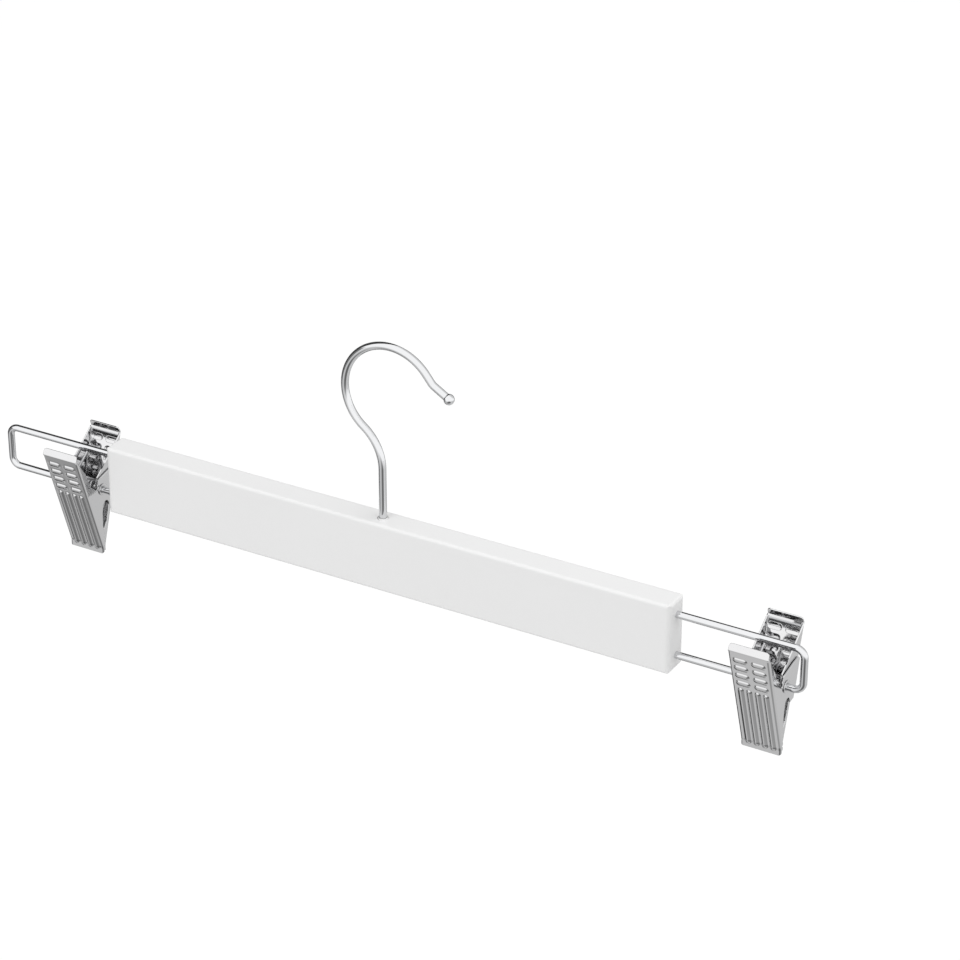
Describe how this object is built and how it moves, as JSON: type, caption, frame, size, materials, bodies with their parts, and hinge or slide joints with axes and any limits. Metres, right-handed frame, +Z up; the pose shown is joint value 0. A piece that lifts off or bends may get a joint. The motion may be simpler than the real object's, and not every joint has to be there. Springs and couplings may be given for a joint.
{
  "type": "skirt hanger",
  "caption": "Wooden bar hanger with a turning wire hook and, on a wire loop at each end, a sprung pressed-steel clip that slides and swings.",
  "frame": {"origin": "the point where the crown of the hook rests on a rail, on the axis that the bar turns about under the hook", "axes": "+X along the bar, towards the side where the hook opens; -Y is the front, the side of the wider jaws; +Z up"},
  "size_m": [0.355, 0.0316, 0.1255],
  "materials": {
    "lacquered_wood": "white satin lacquer",
    "hook_chrome": "polished",
    "loop_chrome": "polished",
    "jaw_plate": "plated pressed sheet, semi-bright",
    "tube_steel": "plated",
    "spring_steel": "plated wire",
    "bush_steel": "turned",
    "grip_rubber": "matt"
  },
  "bodies": {
    "hook": {"hook": "hook_chrome"},
    "bar": {"bar": "lacquered_wood", "hook_bush": "bush_steel", "hook_washer": "bush_steel", "left_loop": "loop_chrome", "right_loop": "loop_chrome"},
    "left_slider": {"left_pivot_tube": "tube_steel"},
    "left_rear": {"left_rear_jaw": "jaw_plate", "left_rear_pad": "grip_rubber", "left_spring": "spring_steel"},
    "left_front": {"left_front_jaw": "jaw_plate", "left_front_pad": "grip_rubber"},
    "right_slider": {"right_pivot_tube": "tube_steel"},
    "right_rear": {"right_rear_jaw": "jaw_plate", "right_rear_pad": "grip_rubber", "right_spring": "spring_steel"},
    "right_front": {"right_front_jaw": "jaw_plate", "right_front_pad": "grip_rubber"}
  },
  "joints": [
    {"name": "hook_swivel", "type": "hinge", "parent": "hook", "child": "bar", "pos_m": [0, 0, 0], "axis": [0, 0, 1], "continuous": true},
    {"name": "left_clip_slide", "type": "slide", "parent": "bar", "child": "left_slider", "axis": [1, 0, 0], "range_m": [-0.0236, 0.006]},
    {"name": "left_clip_swing", "type": "hinge", "parent": "left_slider", "child": "left_rear", "pos_m": [-0.1401, 0, -0.09334], "axis": [1, 0, 0], "range_deg": [-25, 25]},
    {"name": "left_jaw_open", "type": "hinge", "parent": "left_rear", "child": "left_front", "pos_m": [-0.1401, 0, -0.09334], "axis": [-1, 0, 0], "range_deg": [0, 30], "stiffness_Nm_per_rad": 0.084, "springref_deg": -89.95, "deforming": ["left_spring"]},
    {"name": "right_clip_slide", "type": "slide", "parent": "bar", "child": "right_slider", "axis": [1, 0, 0], "range_m": [-0.0271, 0.0026]},
    {"name": "right_clip_swing", "type": "hinge", "parent": "right_slider", "child": "right_rear", "pos_m": [0.1612, 0, -0.09334], "axis": [1, 0, 0], "range_deg": [-25, 25]},
    {"name": "right_jaw_open", "type": "hinge", "parent": "right_rear", "child": "right_front", "pos_m": [0.1612, 0, -0.09334], "axis": [-1, 0, 0], "range_deg": [0, 30], "stiffness_Nm_per_rad": 0.084, "springref_deg": -89.95, "deforming": ["right_spring"]}
  ]
}
